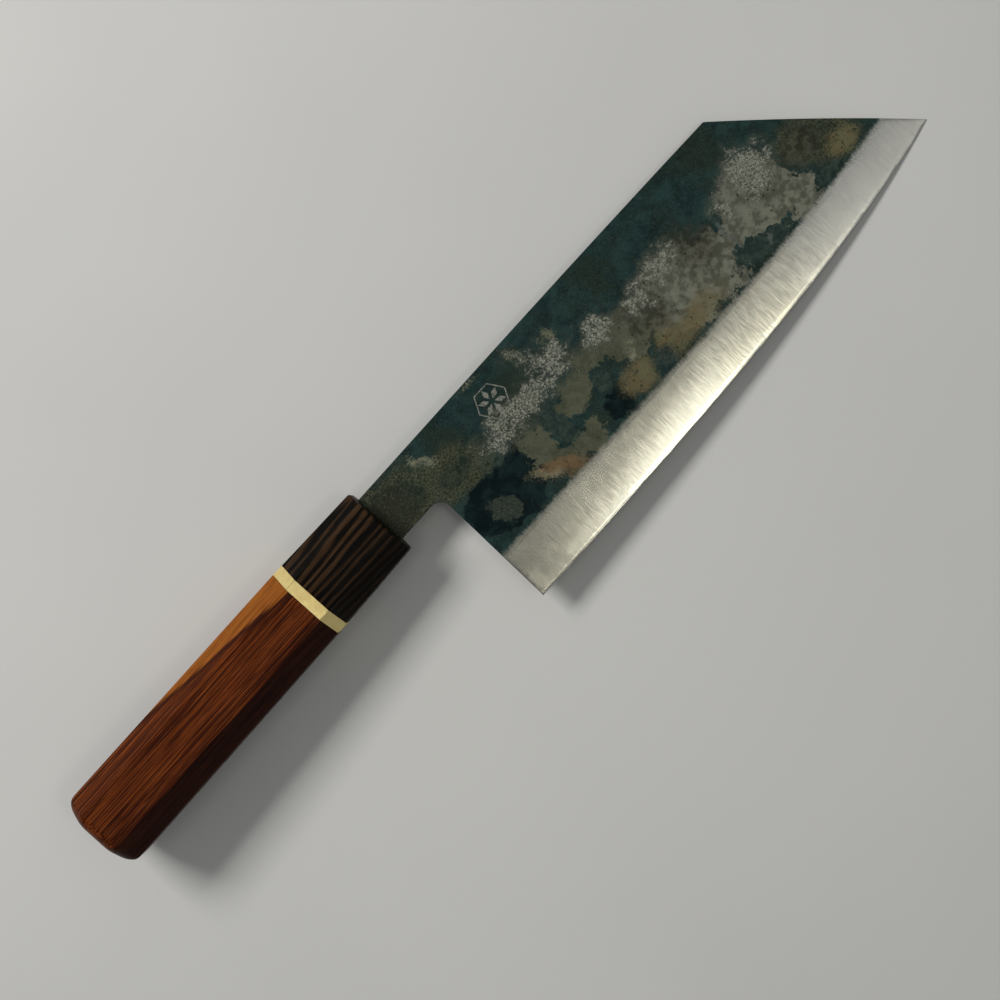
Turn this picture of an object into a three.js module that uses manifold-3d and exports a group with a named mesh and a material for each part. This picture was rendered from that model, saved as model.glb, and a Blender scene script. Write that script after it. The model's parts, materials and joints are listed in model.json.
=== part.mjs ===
// A tall kitchen knife with an angled tip, a hidden tang and an eight-sided wooden handle.
//
// Everything is in millimetres. The knife is built along X in a frame of its own: the handle's axis is
// the X axis, the ferrule's front face is at x = 0, the tip points to +X, the spine faces +Y and the
// blade's right side faces +Z. Then it lies down on its left side, on the ferrule's front edge and the tip.

import * as THREE from 'three';
import { mergeVertices } from 'three/addons/utils/BufferGeometryUtils.js';
import Module from 'manifold-3d';

const wasm = await Module();
wasm.setup();

const GAP = 0.3; // clearance between neighbouring pieces
const PAST = 5; // how far a cutter runs past what it cuts
const ROUND_SIDES = 32; // sides of a round bar
const CURVE_STEPS = 7; // straight lines in each curve of an outline

// Blade outline
const HEEL_X = 15.1; // back corner of the cutting edge, ahead of the ferrule
const HEEL_LEAN = 1.3; // how far the heel's back edge leans forward on its way up
const EDGE_Y = -48.9; // cutting edge at the heel
const EDGE_LENGTH = 175.2; // heel to tip, along X
const TIP_RISE = 8.8; // the tip above the heel's edge
const EDGE_POWER = 3.6; // how late along its length the edge turns up
const CORNER_X = 146.8; // where the spine meets the angled tip
const CORNER_Y = 7.2;
const SPINE_BEND = [88, 8.6]; // the point that the spine's slight fall leans towards
const TIP_BULGE = 0.6; // how far the angled tip line bows out of straight
const NECK_TOP = 8.7;
const NECK_BOTTOM = -8.0;
const NOTCH_RADIUS = 3.7; // rounded corner between the neck and the heel

// Blade thickness
const SPINE_HALF = 1.5; // half the thickness at the top of the heel
const DISTAL_TAPER = 0.003; // half thickness lost for each millimetre towards the tip
const WEDGE_TAPER = 0.0096; // half thickness lost for each millimetre from spine to edge
const EDGE_HALF = 0.15;
const BEVEL_HEEL = 15.0; // height of the wide bevel at the heel
const BEVEL_LOSS = 5.0; // how much lower the bevel is at the tip
const BEVEL_POWER = 1.5;
const BLADE_STATIONS = 24;

// Neck and tang inside the handle
const NECK_IN = 4; // how far the neck goes into the ferrule
const TANG_END = 88;
const TANG_HEIGHT = [10.6, 7]; // at the neck and at the end
const TANG_THICK = [2.6, 1.8];

// Eight-sided handle: half width, half thickness and how far the corners are cut, at each place along it
const FERRULE_LENGTH = 27.7;
const SPACER_LENGTH = 3.7;
const SPACER_BACK_X = -FERRULE_LENGTH - SPACER_LENGTH;
const BUTT_X = -120.8;
const FRONT = { width: 11.6, thick: 10.5, cut: 5.6 };
const SPACER_BACK = { width: 12.35, thick: 11.2, cut: 5.9 };
const BUTT = { width: 12.75, thick: 11.7, cut: 6.1 };
const FRONT_EASE = 0.6; // small slope round the ferrule's front face
const CROWN = [[5.4, 0], [3.2, 0.5], [1.7, 1.7], [0.7, 4.2], [0, 8]]; // butt: [from the end, inset]

// Inside the handle
const DOWEL_RADIUS = 6.4;
const BORE_RADIUS = DOWEL_RADIUS + GAP;
const BORE_END = 105;
const FERRULE_WALL = 6; // wood left in front of the bore, which the neck's slot passes through
const DOWEL_FRONT = -FERRULE_WALL - GAP;
const DOWEL_SLOT = 5; // width of the slot that takes the tang
const DOWEL_SLOT_END = 93;
const BEDDING_WALL = 0.6;
const MOUTH_ROOM = 1.0; // space between the neck and the ferrule's slot
const SEAL_DEPTH = 2.5;
const SEAL_PROUD = 0.2;

// A closed body through a row of convex rings, each a list of [y, z] given anticlockwise seen from +X.
function loft(rings) {
  const count = rings[0].points.length;
  const positions = [];
  for (const ring of rings) {
    for (const [y, z] of ring.points) positions.push(ring.x, y, z);
  }
  const faces = [];
  for (let r = 0; r + 1 < rings.length; r += 1) {
    for (let i = 0; i < count; i += 1) {
      const here = r * count + i;
      const next = r * count + ((i + 1) % count);
      faces.push(here, next, next + count);
      faces.push(here, next + count, here + count);
    }
  }
  const last = (rings.length - 1) * count;
  for (let i = 1; i + 1 < count; i += 1) {
    faces.push(0, i + 1, i);
    faces.push(last, last + i, last + i + 1);
  }
  const geometry = new THREE.BufferGeometry();
  geometry.setAttribute('position', new THREE.Float32BufferAttribute(positions, 3));
  geometry.setIndex(faces);
  return geometry;
}

function toSolid(geometry) {
  const bare = geometry.clone();
  bare.deleteAttribute('normal');
  bare.deleteAttribute('uv');
  const merged = mergeVertices(bare);
  return new wasm.Manifold(new wasm.Mesh({
    numProp: 3,
    vertProperties: merged.attributes.position.array,
    triVerts: new Uint32Array(merged.index.array),
  }));
}

function toGeometry(solid) {
  const mesh = solid.getMesh();
  const geometry = new THREE.BufferGeometry();
  geometry.setAttribute('position', new THREE.Float32BufferAttribute(mesh.vertProperties, 3));
  geometry.setIndex(new THREE.Uint32BufferAttribute(mesh.triVerts, 1));
  geometry.computeVertexNormals();
  return geometry;
}

function piece(name, geometry, look) {
  const material = new THREE.MeshStandardMaterial({ ...look, flatShading: true });
  const mesh = new THREE.Mesh(geometry, material);
  mesh.name = name;
  return mesh;
}

// A box between two corners.
function block(low, high) {
  const size = high.map((value, i) => value - low[i]);
  const middle = high.map((value, i) => (value + low[i]) / 2);
  return new THREE.BoxGeometry(...size).translate(...middle);
}

// A round bar along X, between two places on the handle's axis.
function bar(radius, fromX, toX) {
  const geometry = new THREE.CylinderGeometry(radius, radius, toX - fromX, ROUND_SIDES);
  return geometry.rotateZ(-Math.PI / 2).translate((fromX + toX) / 2, 0, 0);
}

// A four-sided ring round y = 0, z = 0.
function rectangle(x, height, thick) {
  const y = height / 2;
  const z = thick / 2;
  return { x, points: [[y, -z], [y, z], [-y, z], [-y, -z]] };
}

// An eight-sided ring. The two broad flats face up and down, and the corners are cut at 45 degrees.
function octagon(x, { width, thick, cut }, inset = 0) {
  const w = width - inset;
  const t = thick - inset;
  const c = cut - inset * (2 - Math.SQRT2);
  const quarter = [[w, t - c], [w - c, t]];
  const points = [
    ...quarter,
    ...quarter.map(([y, z]) => [-y, z]).reverse(),
    ...quarter.map(([y, z]) => [-y, -z]),
    ...quarter.map(([y, z]) => [y, -z]).reverse(),
  ];
  return { x, points };
}

// The handle's section at x, between two named sections.
function between(x, startX, start, endX, end) {
  const share = (x - startX) / (endX - startX);
  const mix = (key) => start[key] + (end[key] - start[key]) * share;
  return { width: mix('width'), thick: mix('thick'), cut: mix('cut') };
}

function frontSection(x) {
  return between(x, 0, FRONT, SPACER_BACK_X, SPACER_BACK);
}

function bodySection(x) {
  return between(x, SPACER_BACK_X, SPACER_BACK, BUTT_X, BUTT);
}

// The cutting edge is almost straight behind and turns up in front, as a power of the distance.
function edgeY(x) {
  const along = Math.max(0, (x - HEEL_X) / EDGE_LENGTH);
  return EDGE_Y + TIP_RISE * along ** EDGE_POWER;
}

function bevelHeight(x) {
  const along = Math.max(0, (x - HEEL_X) / EDGE_LENGTH);
  return BEVEL_HEEL - BEVEL_LOSS * along ** BEVEL_POWER;
}

// Both sides of the blade above the bevel are true planes.
function flatHalf(x, y) {
  return SPINE_HALF - DISTAL_TAPER * (x - HEEL_X) - WEDGE_TAPER * (NECK_TOP - y);
}

// The blade's thickness, as a body that runs past the outline at the spine, the heel and the tip.
function bladeThickness() {
  const rings = [];
  const start = -NECK_IN - PAST;
  const step = (EDGE_LENGTH + PAST) / BLADE_STATIONS;
  for (let i = 0; i <= BLADE_STATIONS; i += 1) {
    const x = i === 0 ? start : HEEL_X + step * i;
    const top = NECK_TOP + PAST;
    const shoulder = edgeY(x) + bevelHeight(x);
    const bottom = edgeY(x);
    const topHalf = flatHalf(x, top);
    const shoulderHalf = flatHalf(x, shoulder);
    const points = [
      [top, -topHalf],
      [top, topHalf],
      [shoulder, shoulderHalf],
      [bottom, EDGE_HALF],
      [bottom, -EDGE_HALF],
      [shoulder, -shoulderHalf],
    ];
    rings.push({ x, points });
  }
  return loft(rings);
}

// The blade seen from the side, with the neck. It runs on below the edge, which the thickness cuts.
function bladeOutline() {
  const tipX = HEEL_X + EDGE_LENGTH;
  const tipY = edgeY(tipX);
  const below = EDGE_Y - PAST;
  const fall = (CORNER_Y - tipY) / (tipX - CORNER_X);
  const length = Math.hypot(tipX - CORNER_X, CORNER_Y - tipY);
  const outward = [(CORNER_Y - tipY) / length, (tipX - CORNER_X) / length];
  const heelTopX = HEEL_X + HEEL_LEAN;
  const shape = new THREE.Shape();
  shape.moveTo(-NECK_IN, NECK_TOP);
  shape.lineTo(-NECK_IN, NECK_BOTTOM);
  shape.lineTo(heelTopX - NOTCH_RADIUS, NECK_BOTTOM);
  shape.absarc(heelTopX - NOTCH_RADIUS, NECK_BOTTOM - NOTCH_RADIUS, NOTCH_RADIUS, Math.PI / 2, 0, true);
  shape.lineTo(HEEL_X, EDGE_Y);
  shape.lineTo(HEEL_X, below);
  shape.lineTo(tipX + (tipY - below) / fall, below);
  shape.lineTo(tipX, tipY);
  shape.quadraticCurveTo(
    (tipX + CORNER_X) / 2 + outward[0] * 2 * TIP_BULGE,
    (tipY + CORNER_Y) / 2 + outward[1] * 2 * TIP_BULGE,
    CORNER_X,
    CORNER_Y,
  );
  shape.quadraticCurveTo(...SPINE_BEND, -NECK_IN, NECK_TOP);
  const depth = 2 * PAST;
  const options = { depth, bevelEnabled: false, curveSegments: CURVE_STEPS };
  return new THREE.ExtrudeGeometry(shape, options).translate(0, 0, -depth / 2);
}

// A flat bar that narrows towards the butt. room widens it on every side, for the hollow round it.
function tangBar(frontX, room = 0) {
  return loft([
    rectangle(-TANG_END - room, TANG_HEIGHT[1] + 2 * room, TANG_THICK[1] + 2 * room),
    rectangle(frontX, TANG_HEIGHT[0] + 2 * room, TANG_THICK[0] + 2 * room),
  ]);
}

function blade() {
  const body = toSolid(bladeOutline()).intersect(toSolid(bladeThickness()));
  const forged = body.add(toSolid(tangBar(-NECK_IN + 1)));
  return piece('blade', toGeometry(forged), { color: 0x4a5656, roughness: 0.5, metalness: 0.9 });
}

// The hole in the ferrule's front face. room is what is left round the neck.
function neckHole(room, backX, frontX) {
  return block(
    [backX, NECK_BOTTOM - room, -SPINE_HALF - room],
    [frontX, NECK_TOP + room, SPINE_HALF + room],
  );
}

function ferrule() {
  const outside = loft([
    octagon(-FERRULE_LENGTH, frontSection(-FERRULE_LENGTH)),
    octagon(-FRONT_EASE, frontSection(-FRONT_EASE)),
    octagon(0, frontSection(0), FRONT_EASE),
  ]);
  const bore = toSolid(bar(BORE_RADIUS, -FERRULE_LENGTH - PAST, -FERRULE_WALL));
  const mouth = toSolid(neckHole(MOUTH_ROOM, -FERRULE_WALL - 1, PAST));
  const wood = toSolid(outside).subtract(bore).subtract(mouth);
  return piece('ferrule', toGeometry(wood), { color: 0x2a1a12, roughness: 0.4, metalness: 0 });
}

function spacer() {
  const frontX = -FERRULE_LENGTH - GAP;
  const outside = loft([
    octagon(SPACER_BACK_X, SPACER_BACK),
    octagon(frontX, frontSection(frontX)),
  ]);
  const band = toSolid(outside).subtract(toSolid(bar(BORE_RADIUS, SPACER_BACK_X - PAST, 0)));
  return piece('spacer', toGeometry(band), { color: 0xe3c98a, roughness: 0.35, metalness: 1 });
}

function handleBody() {
  const frontX = SPACER_BACK_X - GAP;
  const crown = [...CROWN].reverse();
  const outside = loft([
    ...crown.map(([back, inset]) => octagon(BUTT_X + back, bodySection(BUTT_X + back), inset)),
    octagon(frontX, bodySection(frontX)),
  ]);
  const wood = toSolid(outside).subtract(toSolid(bar(BORE_RADIUS, -BORE_END, 0)));
  return piece('handle_body', toGeometry(wood), { color: 0x7a3218, roughness: 0.45, metalness: 0 });
}

// A flat slab through the dowel, from its front end to the end of its slot.
function slotSlab(thickness) {
  const side = DOWEL_RADIUS + PAST;
  return toSolid(block([-DOWEL_SLOT_END, -side, -thickness / 2], [0, side, thickness / 2]));
}

function dowel() {
  const round = toSolid(bar(DOWEL_RADIUS, -BORE_END + GAP, DOWEL_FRONT));
  const fork = round.subtract(slotSlab(DOWEL_SLOT));
  return piece('dowel', toGeometry(fork), { color: 0xc9a673, roughness: 0.7, metalness: 0 });
}

function tangBedding() {
  const round = toSolid(bar(DOWEL_RADIUS, -DOWEL_SLOT_END + GAP, DOWEL_FRONT));
  const slab = slotSlab(TANG_THICK[0] + 2 * (GAP + BEDDING_WALL));
  const resin = round.intersect(slab).subtract(toSolid(tangBar(0, GAP)));
  return piece('tang_bedding', toGeometry(resin), { color: 0x8c8778, roughness: 0.5, metalness: 0 });
}

function mouthSeal() {
  const outside = toSolid(neckHole(MOUTH_ROOM - GAP, -SEAL_DEPTH, SEAL_PROUD));
  const inside = toSolid(neckHole(GAP, -SEAL_DEPTH - PAST, PAST));
  const bead = outside.subtract(inside);
  return piece('mouth_seal', toGeometry(bead), { color: 0x14110f, roughness: 0.35, metalness: 0 });
}

// How far the knife tips forward before the blade, near its tip, meets the surface that the ferrule's
// front edge lies on: the least of the angles at which each of the blade's corners would touch.
function restingTilt(bladeGeometry) {
  const ferruleLow = frontSection(-FRONT_EASE).thick;
  const corners = bladeGeometry.attributes.position;
  let tilt = Math.PI / 2;
  for (let i = 0; i < corners.count; i += 1) {
    const ahead = corners.getX(i) + FRONT_EASE;
    if (ahead > 0) tilt = Math.min(tilt, Math.atan2(ferruleLow + corners.getZ(i), ahead));
  }
  return tilt;
}

// Lies the knife on z = 0 with the middle of its box over the origin.
function lieDown(knife, bladeGeometry) {
  knife.rotation.y = restingTilt(bladeGeometry);
  const box = new THREE.Box3().setFromObject(knife, true);
  const middle = box.getCenter(new THREE.Vector3());
  knife.position.set(-middle.x, -middle.y, -box.min.z);
}

const forgedBlade = blade();
const knife = new THREE.Group();
knife.add(forgedBlade, ferrule(), spacer(), handleBody(), dowel(), tangBedding(), mouthSeal());
lieDown(knife, forgedBlade.geometry);

const model = new THREE.Group();
model.name = 'knife';
model.add(knife);

export default model;
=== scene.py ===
# %% [markdown]
# # A forged kitchen knife with an eight-sided wooden handle
# The knife is a tall blade with an angled tip, forged black on its flats and ground bright along its
# edge. Its handle has four parts in a row: a striped dark ferrule, a thin brass spacer, a red-brown body,
# and out of sight a wooden dowel that holds the blade's tang.
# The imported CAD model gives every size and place. This lesson builds the finer surface on top of it.

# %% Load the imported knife
import json
import math

import bmesh
import bpy
from mathutils import Matrix, Vector
from mathutils.geometry import delaunay_2d_cdt
from mathutils.noise import noise as soft_noise


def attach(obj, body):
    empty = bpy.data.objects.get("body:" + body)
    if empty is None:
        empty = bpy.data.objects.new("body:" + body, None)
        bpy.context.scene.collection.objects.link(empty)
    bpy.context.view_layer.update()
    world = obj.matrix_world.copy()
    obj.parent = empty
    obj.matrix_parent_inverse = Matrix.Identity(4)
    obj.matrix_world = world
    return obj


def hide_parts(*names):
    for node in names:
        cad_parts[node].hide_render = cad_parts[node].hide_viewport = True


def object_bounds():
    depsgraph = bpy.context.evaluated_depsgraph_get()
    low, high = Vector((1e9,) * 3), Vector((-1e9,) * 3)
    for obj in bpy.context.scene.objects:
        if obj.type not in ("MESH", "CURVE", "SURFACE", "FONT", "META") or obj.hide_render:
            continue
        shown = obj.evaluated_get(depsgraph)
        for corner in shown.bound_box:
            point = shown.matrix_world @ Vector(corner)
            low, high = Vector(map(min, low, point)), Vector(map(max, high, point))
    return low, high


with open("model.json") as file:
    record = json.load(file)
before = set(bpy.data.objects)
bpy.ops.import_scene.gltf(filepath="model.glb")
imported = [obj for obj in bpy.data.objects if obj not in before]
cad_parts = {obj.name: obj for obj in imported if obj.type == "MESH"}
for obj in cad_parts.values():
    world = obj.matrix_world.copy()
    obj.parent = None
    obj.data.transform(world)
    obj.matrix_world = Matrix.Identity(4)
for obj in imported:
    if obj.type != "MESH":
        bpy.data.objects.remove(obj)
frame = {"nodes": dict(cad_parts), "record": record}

cad_low, cad_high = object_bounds()
print("CAD box in mm:", [round(side * 1000, 1) for side in cad_high - cad_low])

# %% [markdown]
# ## Where the knife lies
# The knife lies on its side with the nose a little lower than the handle, so nothing on it is square to
# the floor. It is easier to build it straight, along its own axes, and to lay it down at the end.
# The handle's two broad flats are in the record, with the way that each one faces. Halfway between them is
# a point on the handle's axis, and the difference of their directions is the knife's own "up".

# %% Work out the knife's own axes
MM = 0.001
MOUNT_BACK = 75.0  # how far behind the ferrule's front the two flats were measured

flats = {mount["name"]: mount for mount in frame["record"]["mounts"]}
right_flat = flats["handle_right_flat"]
left_flat = flats["handle_left_flat"]
knife_up = (Vector(right_flat["axis"]) - Vector(left_flat["axis"])).normalized()
knife_side = Vector((0, 1, 0))
knife_along = knife_side.cross(knife_up).normalized()
on_axis = (Vector(right_flat["pos_m"]) + Vector(left_flat["pos_m"])) / 2
knife_origin = on_axis + knife_along * MOUNT_BACK * MM
knife_turn = Matrix((knife_along, knife_side, knife_up)).transposed()
nose_down = math.atan2(-knife_along.z, knife_along.x)
print("nose down by", round(math.degrees(nose_down), 2), "degrees")


def lay(point):
    """A point in the knife's own millimetres, in the row's metres."""
    return knife_origin + knife_turn @ (Vector(point) * MM)


# %% [markdown]
# ## Camera
# The knife is seen from almost straight above, with its tip towards the upper right. A long lens keeps
# the shape true. The camera is turned by building its three axes: where it looks, what is right, what is up.

# %% Place the camera
EYE = knife_origin + Vector((50.3, -26.6, 479.9)) * MM
LOOK_AT = knife_origin + Vector((27.2, -21.5, -0.5)) * MM
PICTURE_TURN = math.radians(48.25)  # how far the knife's length is turned up in the picture
LENS = 60.55

backward = (EYE - LOOK_AT).normalized()
level = Vector((math.cos(PICTURE_TURN), -math.sin(PICTURE_TURN), 0))
rightward = (level - backward * level.dot(backward)).normalized()
upward = backward.cross(rightward)
camera = bpy.data.objects.new("camera", bpy.data.cameras.new("camera"))
camera.data.lens = LENS
camera.data.clip_start = 0.01
camera.data.clip_end = 20
camera.matrix_world = Matrix.Translation(EYE) @ Matrix((rightward, upward, backward)).transposed().to_4x4()
bpy.context.scene.collection.objects.link(camera)
bpy.context.scene.camera = camera
print("camera height in mm:", round(EYE.z / MM))

# %% [markdown]
# ## Light
# A blade is a mirror with fine scratches, so it is lit by what it reflects. One softbox stands beyond the
# spine, high enough to throw a short soft shadow on the edge's side. Two wide dim panels hang overhead: the
# brass mirrors one, and the ground bevel mirrors the other. A small brighter box in front of the second
# gives the bevel its bright middle, which a painted highlight in the steel's colour strengthens. A dim,
# even surround fills in the rest.

# %% Hang the softboxes
def softbox(name, place, aim, width, height, watts, colour):
    lamp = bpy.data.lights.new(name, "AREA")
    lamp.shape = "RECTANGLE"
    lamp.size = width
    lamp.size_y = height
    lamp.energy = watts
    lamp.color = colour
    holder = bpy.data.objects.new(name, lamp)
    holder.location = place
    holder.rotation_euler = (Vector(aim) - Vector(place)).to_track_quat("-Z", "Y").to_euler()
    bpy.context.scene.collection.objects.link(holder)
    return holder


key = softbox("key", (-0.20, 0.85, 0.80), (0.0, 0.0, 0.0), 0.45, 0.30, 10.5, (1.0, 0.98, 0.95))
key.visible_glossy = False  # it lights the knife, and only the others are mirrored in it
softbox("handle_panel", (-0.27, 0.19, 1.30), (-0.27, 0.19, 0.0), 0.44, 0.30, 0.78, (1.0, 0.98, 0.94))
softbox("bevel_panel", (0.58, -0.28, 1.30), (0.58, -0.28, 0.0), 1.20, 0.40, 0.42, (1.0, 0.99, 0.97))
softbox("bevel_light", (0.215, -0.28, 0.95), (0.02, -0.02, 0.0), 0.20, 0.10, 0.58, (1.0, 0.98, 0.84))

surround = bpy.data.worlds.new("surround")
surround.use_nodes = True
surround.node_tree.nodes["Background"].inputs["Color"].default_value = (0.93, 0.96, 1.0, 1)
surround.node_tree.nodes["Background"].inputs["Strength"].default_value = 0.18
bpy.context.scene.world = surround
bpy.context.scene.view_settings.view_transform = "Standard"

# %% [markdown]
# ## Making finishes
# Each finish is a tree of nodes. Building one by hand takes many lines, so this small workbench
# wraps the few nodes that the lesson needs. Every finish starts from the same measure: a place on the knife
# in millimetres along its own axes, so a grain line or a scratch can be given its real size.

# %% A workbench for finishes
class Finish:
    """One material, its main shader, and short calls for the nodes that feed it."""

    def __init__(self, name, **plain):
        self.material = bpy.data.materials.new(name)
        self.material.use_nodes = True
        self.nodes = self.material.node_tree.nodes
        self.links = self.material.node_tree.links
        self.shader = self.nodes["Principled BSDF"]
        for socket, value in plain.items():
            self.shader.inputs[socket.replace("_", " ")].default_value = value
        seen = self.nodes.new("ShaderNodeTexCoord").outputs["Object"]
        measure = self.nodes.new("ShaderNodeMapping")
        measure.vector_type = "TEXTURE"
        measure.inputs["Location"].default_value = knife_origin
        measure.inputs["Rotation"].default_value = (0, nose_down, 0)
        measure.inputs["Scale"].default_value = (MM, MM, MM)
        self.links.new(seen, measure.inputs["Vector"])
        self.place = measure.outputs["Vector"]

    def feed(self, socket, value):
        """Puts a number, a colour or another node's output into a socket."""
        if isinstance(value, bpy.types.NodeSocket):
            self.links.new(value, socket)
        elif isinstance(value, (tuple, list)) and len(value) == 3 and socket.type == "RGBA":
            socket.default_value = (*value, 1)
        else:
            socket.default_value = value

    def set(self, name, value):
        self.feed(self.shader.inputs[name], value)

    def stretch(self, x, y, z):
        """The same place, with each axis scaled, so that a pattern runs longer one way."""
        node = self.nodes.new("ShaderNodeMapping")
        node.inputs["Scale"].default_value = (x, y, z)
        self.feed(node.inputs["Vector"], self.place)
        return node.outputs["Vector"]

    def noise(self, per_mm, detail=3.0, rough=0.55, place=None, warp=0.0):
        node = self.nodes.new("ShaderNodeTexNoise")
        node.inputs["Scale"].default_value = per_mm
        node.inputs["Detail"].default_value = detail
        node.inputs["Roughness"].default_value = rough
        node.inputs["Distortion"].default_value = warp
        self.feed(node.inputs["Vector"], place or self.place)
        return node.outputs["Fac"]

    def grain(self, per_mm, detail, rough=0.55):
        """Noise with its own fineness along each axis."""
        return self.noise(1.0, detail, rough, place=self.stretch(*per_mm))

    def cells(self, per_mm):
        node = self.nodes.new("ShaderNodeTexVoronoi")
        node.inputs["Scale"].default_value = per_mm
        self.feed(node.inputs["Vector"], self.place)
        return node.outputs["Distance"]

    def sum(self, how, first, second=0.0, third=0.0):
        node = self.nodes.new("ShaderNodeMath")
        node.operation = how
        for socket, value in zip(node.inputs, (first, second, third)):
            self.feed(socket, value)
        return node.outputs[0]

    def push(self, field, noise, reach):
        """Moves a field up and down by noise, which swings about a half."""
        return self.sum("MULTIPLY_ADD", self.sum("SUBTRACT", noise, 0.5), reach, field)

    def rise(self, value, low, high, start=0.0, end=1.0):
        """Goes smoothly from start to end as value goes from low to high."""
        node = self.nodes.new("ShaderNodeMapRange")
        node.interpolation_type = "SMOOTHSTEP"
        for socket, amount in zip(node.inputs, (value, low, high, start, end)):
            self.feed(socket, amount)
        return node.outputs[0]

    def mix(self, share, first, second):
        node = self.nodes.new("ShaderNodeMix")
        node.data_type = "RGBA"
        self.feed(node.inputs[0], share)
        self.feed(node.inputs[6], first)
        self.feed(node.inputs[7], second)
        return node.outputs[2]

    def shade(self, value, low, high, first, second, most=1.0):
        """The first colour, going to the second, or most of the way, as value goes from low to high."""
        return self.mix(self.rise(value, low, high, 0, most), first, second)

    def stored(self, name):
        """A number that the mesh carries at each of its points."""
        node = self.nodes.new("ShaderNodeAttribute")
        node.attribute_name = name
        return node.outputs["Fac"]

    def axes(self):
        node = self.nodes.new("ShaderNodeSeparateXYZ")
        self.feed(node.inputs[0], self.place)
        return node.outputs

    def bump(self, height, depth_mm, before=None):
        """Relief in the shading. height runs from 0 to 1, and depth is what 1 stands for."""
        node = self.nodes.new("ShaderNodeBump")
        node.inputs["Distance"].default_value = depth_mm * MM
        self.feed(node.inputs["Height"], height)
        if before is not None:
            self.feed(node.inputs["Normal"], before)
        return node.outputs["Normal"]


print("workbench ready")

# %% [markdown]
# ## Floor
# The floor is a plain pale sheet. It has a very faint mottle, because a surface with no variation at all
# looks like a hole in the picture. It belongs to the stage, not to the knife.

# %% Lay the floor
FLOOR_SIZE = 8.0

floor_finish = Finish("pale_floor", Roughness=0.7)
floor_cloud = floor_finish.noise(0.004, detail=4)
floor_tone = floor_finish.shade(floor_cloud, 0.3, 0.7, (0.60, 0.60, 0.59), (0.64, 0.64, 0.62))
floor_finish.set("Base Color", floor_tone)

bpy.ops.mesh.primitive_plane_add(size=FLOOR_SIZE, location=(0, 0, cad_low.z))
floor = bpy.context.object
floor.name = "floor"
floor.data.materials.append(floor_finish.material)
print("floor at height", round(cad_low.z * 1000, 2), "mm")

# %% [markdown]
# ## Turning points into pieces
# Every piece is made as a list of points in the knife's own millimetres and a list of faces. One helper lays
# the points down in the row, makes the mesh, points its faces outwards and smooths it. The weighted
# normals keep the broad faces flat in the light while the narrow rounded edges between them turn softly.

# %% Helpers for pieces
def make_piece(name, skin, finish, replaces=None):
    """A smooth piece from a skin, which is a pair: its points and its faces."""
    points, faces = skin
    mesh = bpy.data.meshes.new(name)
    mesh.from_pydata([lay(point) for point in points], [], faces)
    work = bmesh.new()
    work.from_mesh(mesh)
    bmesh.ops.recalc_face_normals(work, faces=work.faces)
    work.to_mesh(mesh)
    open_edges = sum(1 for edge in work.edges if len(edge.link_faces) != 2)
    work.free()
    mesh.polygons.foreach_set("use_smooth", [True] * len(mesh.polygons))
    mesh.materials.append(finish.material)
    piece = bpy.data.objects.new(name, mesh)
    bpy.context.scene.collection.objects.link(piece)
    flatten = piece.modifiers.new("flat_faces", "WEIGHTED_NORMAL")
    flatten.keep_sharp = True
    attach(piece, "root")
    if replaces:
        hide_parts(replaces)
    print(name, "points", len(mesh.vertices), "faces", len(mesh.polygons), "open edges", open_edges)
    return piece


def belt(here, there, count):
    """The faces between two rings of count points, whose first points have the numbers here and there."""
    pairs = [(side, (side + 1) % count) for side in range(count)]
    return [(here + side, here + after, there + after, there + side) for side, after in pairs]


def shifted(faces, by):
    """The same faces, for points that are now further along the list."""
    return [tuple(corner + by for corner in face) for face in faces]


def loft(rings, ends="caps"):
    """Points and faces of a skin through rings of equally many points. ends is caps or joined."""
    count = len(rings[0])
    points = [point for ring in rings for point in ring]
    faces = []
    spans = len(rings) if ends == "joined" else len(rings) - 1
    for ring in range(spans):
        faces += belt(ring * count, (ring + 1) % len(rings) * count, count)
    if ends == "caps":
        faces.append(tuple(range(count))[::-1])
        faces.append(tuple(range(len(points) - count, len(points))))
    return points, faces


# %% [markdown]
# ## The blade's outline
# The smith cuts the blade from a flat forging, so its side view is a drawing of lines and curves: a straight
# neck, a rounded notch, an upright heel, an edge that turns up late towards the tip, a straight angled tip
# and a spine that falls slightly. The tang runs back into the handle. The driving sizes come first, and
# the curves are formulas, so the outline can be sampled as finely as the surface needs.

# %% Draw the outline
STEP = 1.2
HEEL_X = 15.1
HEEL_LEAN = 1.3
EDGE_Y = -48.9
EDGE_LENGTH = 175.2
TIP_RISE = 8.8
EDGE_POWER = 3.6
CORNER = Vector((146.8, 7.2))
SPINE_BEND = Vector((88, 8.6))
TIP_BULGE = 0.6
NECK_TOP = 8.7
NECK_BOTTOM = -8.0
NECK_BACK = -4.0
NOTCH_RADIUS = 3.7
TANG_END = -88.0
TANG_ROOT = 5.3  # the tang's half height at the neck
TANG_TIP = 3.5  # and at its end
TIP_X = HEEL_X + EDGE_LENGTH


def along_edge(x):
    return max(0.0, (x - HEEL_X) / EDGE_LENGTH)


def edge_y(x):
    return EDGE_Y + TIP_RISE * along_edge(x) ** EDGE_POWER


def line(start, end, step=STEP):
    """Evenly spaced points from start up to, but not including, end."""
    start = Vector(start)
    end = Vector(end)
    count = max(1, round((end - start).length / step))
    return [start.lerp(end, number / count) for number in range(count)]


def path(*corners):
    """Evenly spaced points through the corners, without the last one."""
    return [point for start, end in zip(corners, corners[1:]) for point in line(start, end)]


def bend(start, pull, end, share):
    """A point on the curve from start to end that leans towards pull."""
    return start.lerp(pull, share).lerp(pull.lerp(end, share), share)


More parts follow.
